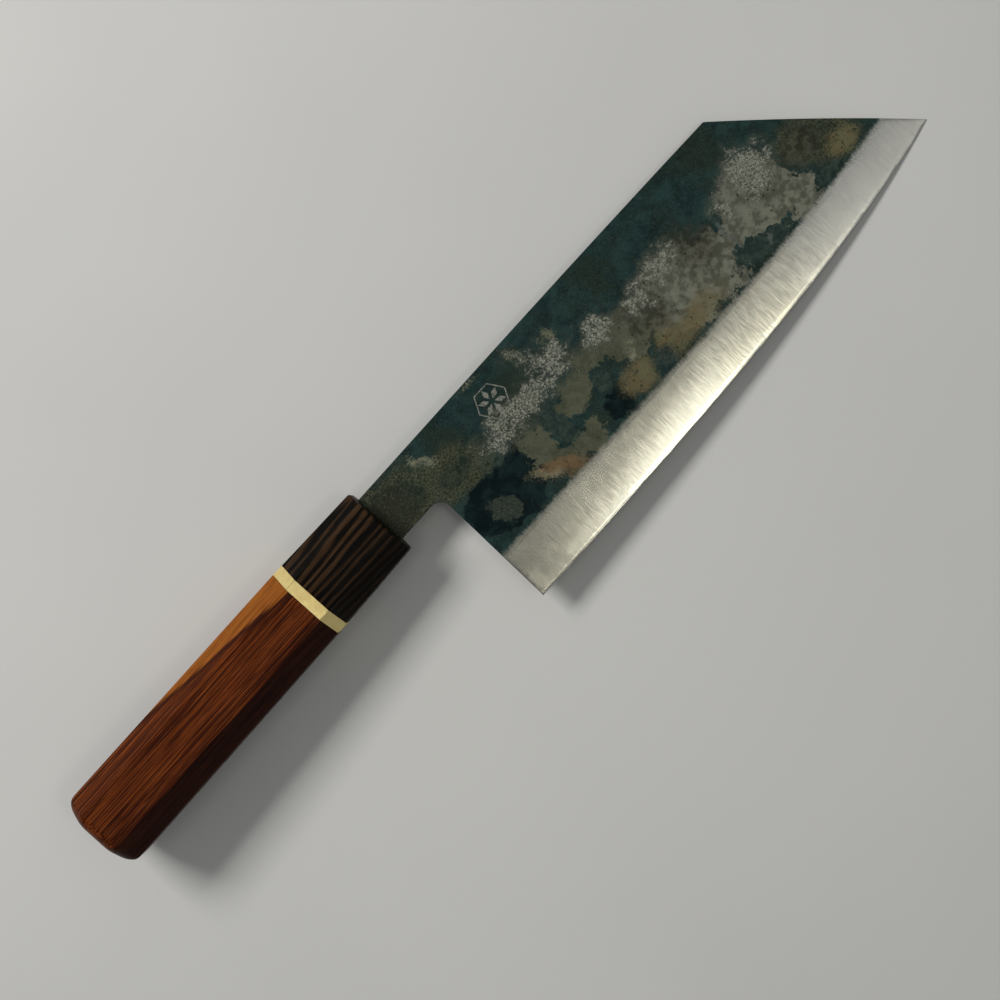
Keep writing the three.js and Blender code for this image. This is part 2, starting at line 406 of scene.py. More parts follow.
tip = Vector((TIP_X, edge_y(TIP_X)))
tip_way = (tip - CORNER).normalized()
tip_pull = (tip + CORNER) / 2 + Vector((-tip_way.y, tip_way.x)) * 2 * TIP_BULGE
print("edge length", EDGE_LENGTH, "tip at", [round(value, 1) for value in tip])

# %% [markdown]
# ## How thick it is
# The flats taper from spine to edge and from heel to tip. Below the shoulder line the wide bevel is ground
# down to a fraction of a millimetre, a little rounded from the stone, and the last half millimetre is
# the sharpened edge itself. One formula gives half the thickness at any point.

# %% Give it thickness
SPINE_HALF = 1.5
DISTAL_TAPER = 0.003
WEDGE_TAPER = 0.0096
EDGE_HALF = 0.15
SHARP_HALF = 0.02
SHARP_HEIGHT = 0.45
BEVEL_HEEL = 15.0
BEVEL_LOSS = 5.0
BEVEL_POWER = 1.5
BEVEL_ROUNDING = 0.045
TANG_HALF = (1.3, 0.9)
TANG_EASE = 2.0


def shoulder_y(x):
    return edge_y(x) + BEVEL_HEEL - BEVEL_LOSS * along_edge(x) ** BEVEL_POWER


def flat_half(x, y):
    return SPINE_HALF - DISTAL_TAPER * (x - HEEL_X) - WEDGE_TAPER * (NECK_TOP - y)


def blend(low, high, share):
    return low + (high - low) * min(1.0, max(0.0, share))


def half_thickness(x, y):
    if x < NECK_BACK:
        share = (NECK_BACK - x) / (NECK_BACK - TANG_END)
        tang = blend(TANG_HALF[0], TANG_HALF[1], share)
        return blend(flat_half(x, y), tang, (NECK_BACK - x) / TANG_EASE)
    if x < HEEL_X - 1:
        return flat_half(x, y)
    up = y - edge_y(x)
    if up < SHARP_HEIGHT:
        return blend(SHARP_HALF, EDGE_HALF, up / SHARP_HEIGHT)
    shoulder = shoulder_y(x)
    share = (y - edge_y(x) - SHARP_HEIGHT) / (shoulder - edge_y(x) - SHARP_HEIGHT)
    if share >= 1:
        return flat_half(x, y)
    return blend(EDGE_HALF, flat_half(x, shoulder), share) + BEVEL_ROUNDING * 4 * share * (1 - share)


print("spine", round(2 * flat_half(HEEL_X, NECK_TOP), 2), "mm, above the bevel",
      round(2 * flat_half(100, shoulder_y(100)), 2), "mm")

# %% Gather the outline's points
HALVINGS = 40
heel_top = Vector((HEEL_X + HEEL_LEAN, NECK_BOTTOM - NOTCH_RADIUS))


def on_heel(y):
    share = (y - EDGE_Y) / (heel_top.y - EDGE_Y)
    return Vector((HEEL_X + HEEL_LEAN * share, y))


def on_tip_line(share):
    return bend(tip, tip_pull, CORNER, share)


def crossing(height):
    """How far up the tip line it is height(x) above the floor of the drawing."""
    low, high = 0.0, 1.0
    for _ in range(HALVINGS):
        middle = (low + high) / 2
        point = on_tip_line(middle)
        low, high = (middle, high) if point.y < height(point.x) else (low, middle)
    return low


def stretch_of(curve, start, end, step=STEP):
    """Points on a curve between two shares, without the last."""
    length = (curve(end) - curve(start)).length
    count = max(1, round(length / step))
    return [curve(start + (end - start) * number / count) for number in range(count)]


sharp_on_tip = crossing(lambda x: edge_y(x) + SHARP_HEIGHT)
shoulder_on_tip = crossing(shoulder_y)
heel_shoulder = on_heel(shoulder_y(HEEL_X + 0.6))
heel_sharp = on_heel(EDGE_Y + SHARP_HEIGHT)
notch_middle = heel_top - Vector((NOTCH_RADIUS, 0))

outline = path((TANG_END, -TANG_TIP), (NECK_BACK, -TANG_ROOT), (NECK_BACK, NECK_BOTTOM),
               (notch_middle.x, NECK_BOTTOM))
NOTCH_STEPS = 8
for number in range(NOTCH_STEPS):
    turn = math.pi / 2 * (1 - number / NOTCH_STEPS)
    outline.append(notch_middle + Vector((math.cos(turn), math.sin(turn))) * NOTCH_RADIUS)
outline += line(heel_top, heel_shoulder)
shoulder_start = len(outline)
outline += line(heel_shoulder, heel_sharp)
sharp_start = len(outline)
outline += [heel_sharp]
EDGE_STEPS = round(EDGE_LENGTH / STEP)
for number in range(EDGE_STEPS):
    x = HEEL_X + EDGE_LENGTH * number / EDGE_STEPS
    outline.append(Vector((x, edge_y(x))))
outline += [tip]
sharp_end = len(outline)
outline += stretch_of(on_tip_line, sharp_on_tip, shoulder_on_tip)
shoulder_end = len(outline)
outline += stretch_of(on_tip_line, shoulder_on_tip, 1.0)
spine_end = Vector((NECK_BACK, NECK_TOP))
outline += stretch_of(lambda share: bend(CORNER, SPINE_BEND, spine_end, share), 0.0, 1.0)
outline += path(spine_end, (NECK_BACK, TANG_ROOT), (TANG_END, TANG_TIP), (TANG_END, -TANG_TIP))
print("outline points:", len(outline))

# %% [markdown]
# ## Rounding the rim
# No edge of a real forging is a perfect corner. The rim is rounded by stepping inwards from the outline while
# rising to the side face. The rounding shrinks with the thickness, so it fades away at the sharp edge.

# %% Step in from the outline
RIM_RADIUS = 0.35
RIM_SHARE = 0.8  # of the half thickness that the rounding may take where the steel is thin
JUST_INSIDE = 0.02
RIM_TURNS = (0, 30, 60, 90)


def inward(number):
    """The way in from one outline point, long enough to keep both neighbouring sides parallel."""
    here = outline[number]
    before = (here - outline[number - 1]).normalized()
    after = (outline[(number + 1) % len(outline)] - here).normalized()
    left_before = Vector((-before.y, before.x))
    left_after = Vector((-after.y, after.x))
    return (left_before + left_after) / (1 + left_before.dot(left_after))


turning = sum(a.x * b.y - b.x * a.y for a, b in zip(outline, outline[1:] + outline[:1]))
side = 1 if turning > 0 else -1
steps_in = [inward(number) * side for number in range(len(outline))]
radii = [min(RIM_RADIUS, RIM_SHARE * half_thickness(*(point + step_in * JUST_INSIDE)))
         for point, step_in in zip(outline, steps_in)]


def rim_row(turn):
    """One row of the rounded rim: each point and its height above the blade's middle."""
    row = []
    for point, step_in, radius in zip(outline, steps_in, radii):
        place = point + step_in * radius * (1 - math.cos(math.radians(turn)))
        top = half_thickness(*(point + step_in * radius))
        row.append((place.x, place.y, top - radius * (1 - math.sin(math.radians(turn)))))
    return row


rim_rows = [rim_row(turn) for turn in RIM_TURNS]
inner_loop = [Vector(point[:2]) for point in rim_rows[-1]]
print("widest rim", round(max(radii), 2), "mm, narrowest", round(min(radii), 3), "mm")

# %% [markdown]
# ## Filling the side faces
# The side is filled with small triangles. A triangulation takes the rim, the shoulder line and the line
# of the sharpened edge as fixed lines, so the creases lie exactly on edges of the mesh, and a grid of loose
# points between them gives the surface enough points to carry hammer marks and stains.

# %% Triangulate one side
CLEAR = 0.55
GRID_HEIGHT = 60.0  # taller than the blade
SAME_POINT = 1e-4


def inner_line(height, first, last):
    """A crease from one rim point to another, height(x) above the drawing's floor."""
    start = inner_loop[first]
    end = inner_loop[last]
    count = round((end.x - start.x) / STEP)
    places = [start.x + (end.x - start.x) * number / count for number in range(1, count)]
    return [Vector((x, height(x))) for x in places]


shoulder_line = inner_line(shoulder_y, shoulder_start, shoulder_end)
sharp_line = inner_line(lambda x: edge_y(x) + SHARP_HEIGHT, sharp_start, sharp_end)


def chain(points_before, inside, first, last):
    """Index pairs that join a crease's points between two rim points."""
    numbers = [first, *range(points_before, points_before + len(inside)), last]
    return list(zip(numbers, numbers[1:]))


flat_points = list(inner_loop)
fixed = [(number, (number + 1) % len(inner_loop)) for number in range(len(inner_loop))]
fixed += chain(len(flat_points), shoulder_line, shoulder_start, shoulder_end)
flat_points += shoulder_line
fixed += chain(len(flat_points), sharp_line, sharp_start, sharp_end)
flat_points += sharp_line


def inside_loop(point):
    inside = False
    for a, b in zip(inner_loop, inner_loop[1:] + inner_loop[:1]):
        if (a.y > point.y) != (b.y > point.y):
            if point.x < a.x + (point.y - a.y) / (b.y - a.y) * (b.x - a.x):
                inside = not inside
    return inside


taken = {}
for point in flat_points:
    taken.setdefault((round(point.x), round(point.y)), []).append(point)


def has_room(point):
    for dx in (-1, 0, 1):
        for dy in (-1, 0, 1):
            for other in taken.get((round(point.x) + dx, round(point.y) + dy), ()):
                if (other - point).length < CLEAR:
                    return False
    return True


loose = []
row_height = STEP * math.sqrt(3) / 2
for row in range(int(GRID_HEIGHT / row_height)):
    y = EDGE_Y + row * row_height
    for column in range(int((TIP_X - TANG_END) / STEP)):
        point = Vector((TANG_END + (column + 0.5 * (row % 2)) * STEP, y))
        if point.x > HEEL_X and edge_y(point.x) < y < edge_y(point.x) + SHARP_HEIGHT + CLEAR:
            continue
        if has_room(point) and inside_loop(point):
            loose.append(point)
filled = delaunay_2d_cdt(flat_points + loose, fixed, [list(range(len(inner_loop)))], 1, SAME_POINT)
side_points, side_faces = filled[0], filled[2]
same_rim = all((a - b).length < SAME_POINT for a, b in zip(side_points, inner_loop))
print("side points", len(side_points), "triangles", len(side_faces), "rim kept in order", same_rim)

# %% [markdown]
# ## Closing the blade
# The filled side is used twice, once facing up and once facing down. Hammer and grinder leave shallow waves,
# so each side gets its own gentle unevenness, which only ever takes metal away. The rim rows join the
# two sides. The number of rim points is the same in every row, so the join is a plain loft.

# %% Build the blade's points and faces
HAMMER_DEPTH = 0.045
HAMMER_SIZE = 9.0
GRIND_DEPTH = 0.004
GRIND_SIZE = 5.0
FADE = 1.5  # how far above the shoulder the hammer marks take to reach full depth
MOST_TAKEN = 0.1  # of the blade's half thickness, so that the thin edge stays whole


def waves(x, y, facing):
    """How much metal the hammer and the grinder took away at a point of one side."""
    hammered = soft_noise(Vector((x / HAMMER_SIZE, y / HAMMER_SIZE, 7.0 * facing)))
    ground = soft_noise(Vector((x / GRIND_SIZE, y / GRIND_SIZE / 3, 3.0 * facing)))
    up = y - shoulder_y(x) if x > HEEL_X - 1 else 10.0
    on_flat = blend(0, 1, up / FADE)
    dent = on_flat * HAMMER_DEPTH * (0.5 + 0.5 * hammered)
    return dent + (1 - on_flat) * GRIND_DEPTH * (0.5 + 0.5 * ground)


rim_count = len(outline)
blade_points = []
blade_faces = []
for facing in (1, -1):
    for row in rim_rows[:-1]:
        blade_points += [(x, y, facing * up) for x, y, up in row]
    for point in side_points:
        half = half_thickness(point.x, point.y)
        dent = min(waves(point.x, point.y, facing), MOST_TAKEN * half)
        blade_points.append((point.x, point.y, facing * (half - dent)))
half_count = len(blade_points) // 2
rows_below = (len(rim_rows) - 1) * rim_count
for base in (0, half_count):
    for low in range(base, base + rows_below, rim_count):
        blade_faces += belt(low, low + rim_count, rim_count)
    blade_faces += shifted(side_faces, base + rows_below)
blade_faces += belt(0, half_count, rim_count)
print("blade points", len(blade_points), "faces", len(blade_faces))

# %% [markdown]
# ## The blade's stains
# The black skin is scale from the forge. It flakes off in patches, rusts here and there, and is peppered
# with pale specks. Each kind of mark is a short list of given ovals. An oval alone looks stamped, so
# each point is first shifted a little by slow noise, which turns the ovals into wandering shapes. The mesh
# carries, at every point, how deep inside the nearest oval of each kind it lies, and the finish chips
# the borders. The other side takes the same lists turned end for end, so the two sides differ.

# %% Place the marks on the skin
# Each oval: centre along and across the knife, half its length, half its height, and its turn in degrees.
STAINS = {}
STAINS["pale"] = [
    (45.7, -19.3, 5.0, 6.8, -8), (64.5, -17.2, 6.2, 5.0, 12), (59.0, -28.2, 5.2, 4.0, 0),
    (26.4, -24.0, 3.6, 4.8, 18), (106.0, -19.0, 14.0, 11.5, 0), (120.0, -24.0, 9.0, 10.0, 0),
    (141.0, -18.5, 12.0, 12.5, 12), (149.0, -27.5, 8.0, 5.5, 5), (87.0, -16.0, 9.0, 8.0, 0),
    (74.5, -13.5, 5.5, 4.0, 0), (49.5, -27.0, 4.5, 3.0, -30), (112.0, -30.0, 10.0, 4.5, 0),
    (133.0, -24.0, 10.0, 7.0, 0),
]
STAINS["cream"] = [
    (71.9, -0.3, 1.4, 1.5, 0), (70.3, 1.1, 0.8, 0.5, 30), (18.6, 4.0, 0.9, 1.5, 20),
    (20.9, 1.6, 1.9, 0.6, -40), (60.2, 4.0, 0.8, 1.4, 0), (61.4, 1.0, 0.7, 1.8, 20),
    (58.6, -0.2, 0.6, 0.7, 0), (83.2, -21.6, 0.8, 2.6, -35),
    (39.8, -25.6, 2.8, 1.5, -40), (42.0, -27.8, 3.2, 1.3, -35), (46.0, 7.0, 1.2, 0.4, 0),
]
STAINS["rust"] = [
    (80.5, -27.6, 6.2, 4.0, 0), (103.5, -29.0, 10.5, 3.4, 4), (46.0, -28.6, 6.4, 2.5, -30),
    (169.2, -26.0, 4.0, 3.4, 15), (95.0, -27.5, 4.5, 3.6, 0),
]
STAINS["dark"] = [(30.0, -22.5, 14.0, 9.0, 0), (71.5, -28.0, 5.5, 4.0, 0), (39.0, -15.5, 4.5, 2.2, 10)]
STAINS["flaked"] = [
    (132.5, -28.9, 12.2, 3.7, -8), (130.5, -26.0, 6.0, 1.6, 0), (160.0, -29.5, 5.2, 2.2, 0),
    (111.8, -32.2, 4.5, 1.3, 0), (90.8, -30.4, 3.6, 2.2, 0), (54.8, -20.6, 3.6, 5.4, 0),
    (71.5, -20.5, 2.6, 3.0, 30), (57.0, -12.6, 3.0, 1.2, 0), (150.5, -33.0, 1.2, 0.9, 0),
]
STAINS["speckle"] = [
    (52.0, -7.6, 20.0, 5.2, 0), (66.0, -6.0, 8.0, 6.5, 0), (82.0, -9.6, 7.5, 5.2, 0),
    (106.0, -10.5, 10.0, 4.8, 0), (145.5, -11.5, 9.5, 8.0, 0), (60.5, 1.5, 2.2, 4.5, 15),
    (41.0, -10.5, 8.0, 4.0, -10), (96.0, -12.5, 8.0, 5.0, 0), (131.0, -15.0, 4.0, 3.5, 0),
]
STAINS["brown"] = [(94.5, -17.0, 7.5, 8.0, 20), (118.0, -15.0, 5.8, 6.6, 0), (160.5, -18.0, 6.0, 5.0, 0),
                   (145.0, -16.5, 4.0, 3.0, 0)]
STAINS["olive"] = [(6.0, -1.0, 13.0, 10.0, 0), (25.0, -7.0, 10.5, 7.0, -8), (165.0, -20.0, 11.0, 7.0, -45)]
STAINS["streak"] = [(127.2, -18.8, 0.8, 6.0, 0), (135.6, -28.5, 1.2, 1.5, 0)]
OTHER_SIDE = 172.0  # where the turned lists meet the first: a mark at x goes to this less x
FAR = -8.0
WANDER = ((9.0, 1.8), (3.2, 1.5))  # how long each wave of the wandering is, and how far it shifts


def wander(x, y, facing):
    """Shifts a point smoothly but unevenly, so that an oval read there turns into a wandering shape."""
    for number, (length, reach) in enumerate(WANDER):
        place = Vector((x / length, y / length, 3.0 * number + 1.5 * facing))
        x += reach * soft_noise(place)
        y += reach * soft_noise(place + Vector((0, 0, 50)))
    return x, y


def depth_in(ovals, x, y):
    """How many millimetres a point lies inside the nearest oval. Outside, it is below nought."""
    best = FAR
    for middle_x, middle_y, length, height, turn in ovals:
        dx = x - middle_x
        dy = y - middle_y
        if abs(dx) > length + height + 8:
            continue
        cos = math.cos(math.radians(turn))
        sin = math.sin(math.radians(turn))
        reach = math.hypot((dx * cos + dy * sin) / length, (dy * cos - dx * sin) / height)
        best = max(best, (1 - reach) * min(length, height))
    return best


def skin_marks(x, y, facing):
    """All the numbers that the blade's finish reads at one point."""
    if facing < 0 and x > HEEL_X:
        x = OTHER_SIDE - x
    x, y = wander(x, y, facing)
    depths = {kind: depth_in(ovals, x, y) for kind, ovals in STAINS.items()}
    for kind in ("pale", "rust"):  # neither grows where the scale has just flaked away
        depths[kind] = min(depths[kind], -depths["flaked"])
    return depths


marks = [skin_marks(x, y, 1 if number < half_count else -1)
         for number, (x, y, _) in enumerate(blade_points)]
print("kinds of mark:", sorted(marks[0]))

# %% [markdown]
# ## The blade's finish
# One forging carries two finishes. Above the shoulder it is dull dark scale: blue-green near the spine, with
# taupe, rust and speckled patches. Below, it is bright ground steel with fine scratches that run
# from spine to edge. A scratched metal smears its reflection across the scratches, which the shader calls
# anisotropy. The two meet in a ragged border, because the grinding wheel bites unevenly into the scale.

# %% Mix the forged finish
forged = Finish("forged_and_ground_steel", Specular_IOR_Level=0.12, Anisotropic=0.5)
x_f, y_f, _ = forged.axes()


def ragged(field, noise_out, reach, soft):
    """A stain's chipped shape: its depth, pushed in and out by noise, then cut steeply."""
    pushed = forged.push(field, noise_out, reach)
    return forged.rise(pushed, -soft, soft)


def part(share, amount):
    """A weaker share. The amount is a number, or another share that holds it back."""
    return forged.sum("MULTIPLY", share, amount)


def stain(skin, kind, noise_out, reach, soft, tone, most=1.0):
    """The skin with one kind of mark laid over it."""
    share = ragged(forged.stored(kind), noise_out, reach, soft)
    return forged.mix(part(share, most), skin, tone)


chips = forged.noise(0.50, detail=9, rough=0.72)
wisps = forged.noise(0.15, detail=7, rough=0.65, warp=0.8)
clouds = forged.noise(0.06, detail=5, rough=0.6, warp=0.5)
patchy = forged.noise(0.42, detail=4, rough=0.6)
grit = forged.noise(2.3, detail=4, rough=0.75)
pepper = forged.noise(1.5, detail=6, rough=0.85)

teal = forged.shade(wisps, 0.36, 0.64, (0.008, 0.022, 0.022), (0.018, 0.044, 0.040))
teal = forged.shade(clouds, 0.46, 0.62, teal, (0.016, 0.027, 0.020))
teal = forged.shade(patchy, 0.50, 0.66, teal, (0.007, 0.014, 0.012), 0.55)
teal = forged.shade(grit, 0.50, 0.72, teal, (0.052, 0.080, 0.072), 0.7)
print("nodes so far:", len(forged.nodes))

# %% Lay the stains over the dark scale
olive_edge = forged.shade(pepper, 0.42, 0.58, (0.016, 0.019, 0.010), (0.098, 0.102, 0.060))
olive_core = forged.shade(patchy, 0.40, 0.60, (0.010, 0.018, 0.012), (0.032, 0.042, 0.026))
olive_core = forged.shade(x_f, 16.0, 8.0, olive_core, (0.024, 0.023, 0.013), 0.8)
olive_core = forged.shade(pepper, 0.50, 0.62, olive_core, (0.105, 0.108, 0.074), 0.6)
olive_deep = forged.push(forged.stored("olive"), chips, 6.0)
olive_tone = forged.shade(olive_deep, 1.2, 4.2, olive_edge, olive_core)
skin = stain(teal, "olive", wisps, 9.0, 2.6, olive_tone, 0.85)

dark_tone = forged.shade(wisps, 0.42, 0.66, (0.0014, 0.0065, 0.0070), (0.008, 0.020, 0.021))
skin = stain(skin, "dark", chips, 5.0, 0.30, dark_tone)

slate_share = ragged(forged.stored("flaked"), chips, 5.0, 0.25)
slate_tone = forged.shade(chips, 0.40, 0.62, (0.017, 0.029, 0.026), (0.038, 0.058, 0.048))
skin = forged.mix(slate_share, skin, slate_tone)

# The pale patches are crisp below and peppered away towards the spine.
crisp_pale = ragged(forged.stored("pale"), chips, 8.0, 0.20)
soft_pale = ragged(forged.stored("pale"), pepper, 12.0, 2.2)
upper = forged.rise(forged.push(y_f, wisps, 12.0), -17.5, -11.5)
lower = forged.sum("SUBTRACT", 1.0, upper)
pale_share = forged.sum("ADD", part(crisp_pale, lower), part(soft_pale, upper))
pale_tone = forged.shade(wisps, 0.36, 0.64, (0.054, 0.062, 0.038), (0.090, 0.096, 0.062))
worn_tone = forged.shade(patchy, 0.38, 0.62, (0.082, 0.085, 0.062), (0.180, 0.184, 0.144))
pale_tone = forged.shade(x_f, 78.0, 104.0, pale_tone, worn_tone)
pale_tone = forged.shade(x_f, 40.0, 32.0, pale_tone, (0.026, 0.037, 0.028))
pale_tone = forged.shade(grit, 0.48, 0.74, pale_tone, (0.165, 0.168, 0.130), 0.5)
pale_tone = forged.shade(pepper, 0.46, 0.34, pale_tone, (0.030, 0.032, 0.023), 0.55)
skin = forged.mix(pale_share, skin, pale_tone)
print("nodes so far:", len(forged.nodes))

# %% Rust and brown blotches
brown_tone = forged.shade(patchy, 0.40, 0.62, (0.028, 0.028, 0.018), (0.072, 0.072, 0.050))
skin = stain(skin, "brown", pepper, 9.0, 3.0, brown_tone, 0.76)

cream_tone = forged.shade(patchy, 0.36, 0.60, (0.110, 0.116, 0.070), (0.250, 0.250, 0.170))
skin = stain(skin, "cream", pepper, 8.0, 0.8, cream_tone, 0.85)

rust_tone = forged.shade(wisps, 0.38, 0.62, (0.150, 0.150, 0.078), (0.142, 0.114, 0.056))
rust_tone = forged.shade(chips, 0.46, 0.36, rust_tone, (0.050, 0.052, 0.032))
rust_tone = forged.shade(pepper, 0.55, 0.62, rust_tone, (0.225, 0.135, 0.060), 0.8)
rust_tone = forged.shade(x_f, 60.0, 52.0, rust_tone, (0.190, 0.094, 0.042), 0.6)
skin = stain(skin, "rust", pepper, 8.0, 1.6, rust_tone, 0.78)

# %% Pepper it with pale specks
speck_field = forged.push(forged.stored("speckle"), patchy, 9.0)
speck_field = forged.push(speck_field, wisps, 9.0)
speck_room = forged.rise(speck_field, -2.0, 4.0)
speck_need = forged.rise(speck_room, 0.0, 1.0, 0.66, 0.445)
speck_spots = forged.rise(forged.sum("SUBTRACT", pepper, speck_need), 0.0, 0.085)
speck_tone = forged.shade(grit, 0.40, 0.62, (0.170, 0.178, 0.140), (0.390, 0.395, 0.325))
skin = forged.mix(part(speck_room, 0.62), skin, (0.074, 0.083, 0.066))
skin = forged.mix(part(speck_spots, 0.88), skin, speck_tone)

skin = stain(skin, "streak", chips, 3.0, 0.6, (0.105, 0.125, 0.112), 0.75)

stray = forged.noise(0.8, detail=6, rough=0.88, place=forged.stretch(1, 1, 3))
stray_share = forged.rise(stray, 0.64, 0.69)
skin = forged.mix(part(stray_share, 0.7), skin, (0.150, 0.172, 0.150))

pits = forged.rise(forged.cells(0.42), 0.10, 0.17, 1, 0)
pit_places = part(pits, forged.rise(clouds, 0.44, 0.54))
skin = forged.mix(part(pit_places, 0.75), skin, (0.008, 0.010, 0.007))
print("nodes so far:", len(forged.nodes))

# %% Grind the bevel bright
fine_scratches = forged.grain((2.4, 0.22, 1), 3, 0.65)
broad_scratches = forged.grain((1.6, 0.14, 1), 2, 0.5)
haze = forged.noise(0.12, detail=5, rough=0.6)
bright = forged.shade(fine_scratches, 0.36, 0.64, (0.45, 0.435, 0.370), (0.65, 0.63, 0.535))
bright = forged.shade(broad_scratches, 0.42, 0.62, bright, (0.44, 0.425, 0.365), 0.25)
# Painted shade: the bevel's colour is darker towards the heel.
bright = forged.shade(x_f, 42.0, 20.0, bright, (0.29, 0.28, 0.24), 0.65)
bright = forged.shade(haze, 0.45, 0.65, bright, (0.74, 0.72, 0.62), 0.3)
bright = forged.shade(x_f, 118.0, 160.0, bright, (0.70, 0.70, 0.67), 0.7)

# The lights alone leave the bevel too even. So a line that climbs slowly towards the tip parts it: above the
# line a painted shade makes the steel's colour duller, and below it a painted highlight makes the middle
# of the edge brighter.
LINE_CLIMB = 0.12
LINE_START = -50.5  # how high the line would be at the ferrule's front
over_line = forged.sum("MULTIPLY_ADD", x_f, -LINE_CLIMB, forged.sum("SUBTRACT", y_f, LINE_START))
bright = forged.shade(over_line, 0.0, 4.0, bright, (0.34, 0.33, 0.27), 0.42)
middle = part(forged.rise(x_f, 30.0, 45.0), forged.rise(x_f, 105.0, 85.0))
# The share of the painted highlight: a brighter base colour low in the middle of the bevel.
painted_highlight = part(middle, forged.rise(over_line, 1.5, -3.0, 0, 0.35))
bright = forged.mix(painted_highlight, bright, (0.85, 0.83, 0.74))

border_streaks = forged.grain((3.2, 0.6, 1), 5, 0.62)
above = forged.sum("SUBTRACT", forged.stored("above_shoulder"), 0.9)
border = forged.push(above, border_streaks, 2.6)
border = forged.push(border, patchy, 1.6)
scale_share = forged.rise(border, -1.3, 1.1)
forged.set("Base Color", forged.mix(scale_share, bright, skin))
forged.set("Metallic", forged.rise(scale_share, 0.0, 1.0, 1.0, 0.04))

ground_rough = forged.rise(haze, 0.3, 0.7, 0.23, 0.26)
scale_rough = forged.rise(chips, 0.3, 0.7, 0.46, 0.66)
rough = forged.nodes.new("ShaderNodeMix")
forged.feed(rough.inputs[0], scale_share)
forged.feed(rough.inputs[2], ground_rough)
forged.feed(rough.inputs[3], scale_rough)
forged.set("Roughness", rough.outputs[0])
print("nodes so far:", len(forged.nodes))

# %% [markdown]
# The scratches smear light along the knife, so the shader is told which way that is. The scale's relief is
# low: flaked patches lie a few hundredths of a millimetre below the skin, with grit on top.

# %% Give the finish its relief
smear = forged.nodes.new("ShaderNodeCombineXYZ")
for socket, value in zip(smear.inputs, knife_along):
    socket.default_value = value
forged.set("Tangent", smear.outputs[0])

SCALE_RELIEF = 0.05
SCRATCH_RELIEF = 0.001
flake_relief = forged.sum("MULTIPLY", chips, 0.8)
for layer, lift in ((pale_share, -0.5), (speck_spots, 0.6), (grit, 0.35), (slate_share, -0.4)):
    flake_relief = forged.sum("MULTIPLY_ADD", layer, lift, flake_relief)
relief = forged.bump(part(flake_relief, scale_share), SCALE_RELIEF)
scratch_relief = part(fine_scratches, forged.sum("SUBTRACT", 1.0, scale_share))
forged.set("Normal", forged.bump(scratch_relief, SCRATCH_RELIEF, before=relief))
print("nodes in all:", len(forged.nodes))

# %% Finish the blade piece
blade_piece = make_piece("forged_blade", (blade_points, blade_faces), forged, "blade")
above_shoulder = [y - shoulder_y(x) if x > HEEL_X - 1 else 20.0 for x, y, _ in blade_points]
stored = {name: [mark[name] for mark in marks] for name in marks[0]}
stored["above_shoulder"] = above_shoulder
for name, values in stored.items():
    layer = blade_piece.data.attributes.new(name, "FLOAT", "POINT")
    layer.data.foreach_set("value", values)
print("numbers kept at each point:", sorted(stored))

# %% [markdown]
# ## A small mark
# Smiths strike or etch a small mark near the spine. This one is a plain six-petalled star in a hexagon,
# which stands for no maker. Each petal and the rim is a thin closed plate set into the steel and
# standing a few hundredths of a millimetre proud. A drawn texture would have no edges to catch the light.

# %% Set the mark
MARK_PLACE = Vector((46.8, -1.0))
MARK_RIM = (5.1, 5.5)
PETAL = ((0.8, 0.0), (2.5, 0.85), (4.3, 0.0), (2.5, -0.85))
MARK_PROUD = 0.02
MARK_SUNK = 0.08


def plate_point(place, lift):
    """A point over the blade's right side, lift above its nominal face."""
    x, y = MARK_PLACE + place
    return (x, y, flat_half(x, y) + lift)


def turned(place, degrees):
    return Matrix.Rotation(math.radians(degrees), 2) @ Vector(place)


def plate_ring(places, lift):
    return [plate_point(place, lift) for place in places]


plates = []
for number in range(6):
    corners = [turned(place, 60 * number + 30) for place in PETAL]
    plates.append(loft([plate_ring(corners, -MARK_SUNK), plate_ring(corners, MARK_PROUD)]))
inner, outer = [[turned((radius, 0), 60 * number) for number in range(6)] for radius in MARK_RIM]
plates.append(loft([plate_ring(inner, -MARK_SUNK), plate_ring(outer, -MARK_SUNK),
                    plate_ring(outer, MARK_PROUD), plate_ring(inner, MARK_PROUD)], "joined"))
mark_points = []
mark_faces = []
for points, faces in plates:
    mark_faces += shifted(faces, len(mark_points))
    mark_points += points
print("mark across in mm:", 2 * MARK_RIM[1])

# %% Rub the mark bright
rubbed = Finish("rubbed_mark_metal", Specular_IOR_Level=0.3)
wear = rubbed.noise(1.8, detail=5, rough=0.7)
rubbed.set("Base Color", rubbed.shade(wear, 0.40, 0.60, (0.09, 0.10, 0.085), (0.34, 0.345, 0.29)))
rubbed.set("Metallic", rubbed.rise(wear, 0.40, 0.60, 0.2, 0.75))
rubbed.set("Roughness", rubbed.rise(wear, 0.3, 0.7, 0.5, 0.36))
rubbed.set("Normal", rubbed.bump(wear, 0.01))
make_piece("side_mark", (mark_points, mark_faces), rubbed)

# %% [markdown]
# ## The handle's section
# The handle is a bar planed to eight sides, with two broad flats and the corners cut at 45 degrees. The edges
# between the sides are softened with a few strokes of sandpaper. A ring of points round one section is
# drawn corner by corner: each corner is a short arc from one side's direction to the next.

# %% Draw an eight-sided ring
FRONT = (11.6, 10.5, 5.6)  # half width, half thickness, corner cut
SPACER_BACK = (12.35, 11.2, 5.9)
BUTT = (12.75, 11.7, 6.1)
FERRULE_BACK_X = -27.85
SPACER_FRONT_X = -27.87
SPACER_BACK_X = -31.55
BODY_FRONT_X = -31.57
BUTT_X = -120.8
WIDENS_X = -31.4  # ahead of here the handle widens at one rate, and behind it at another
ARRIS = 0.8
ARC_STEPS = 8  # points on each of the eight corners


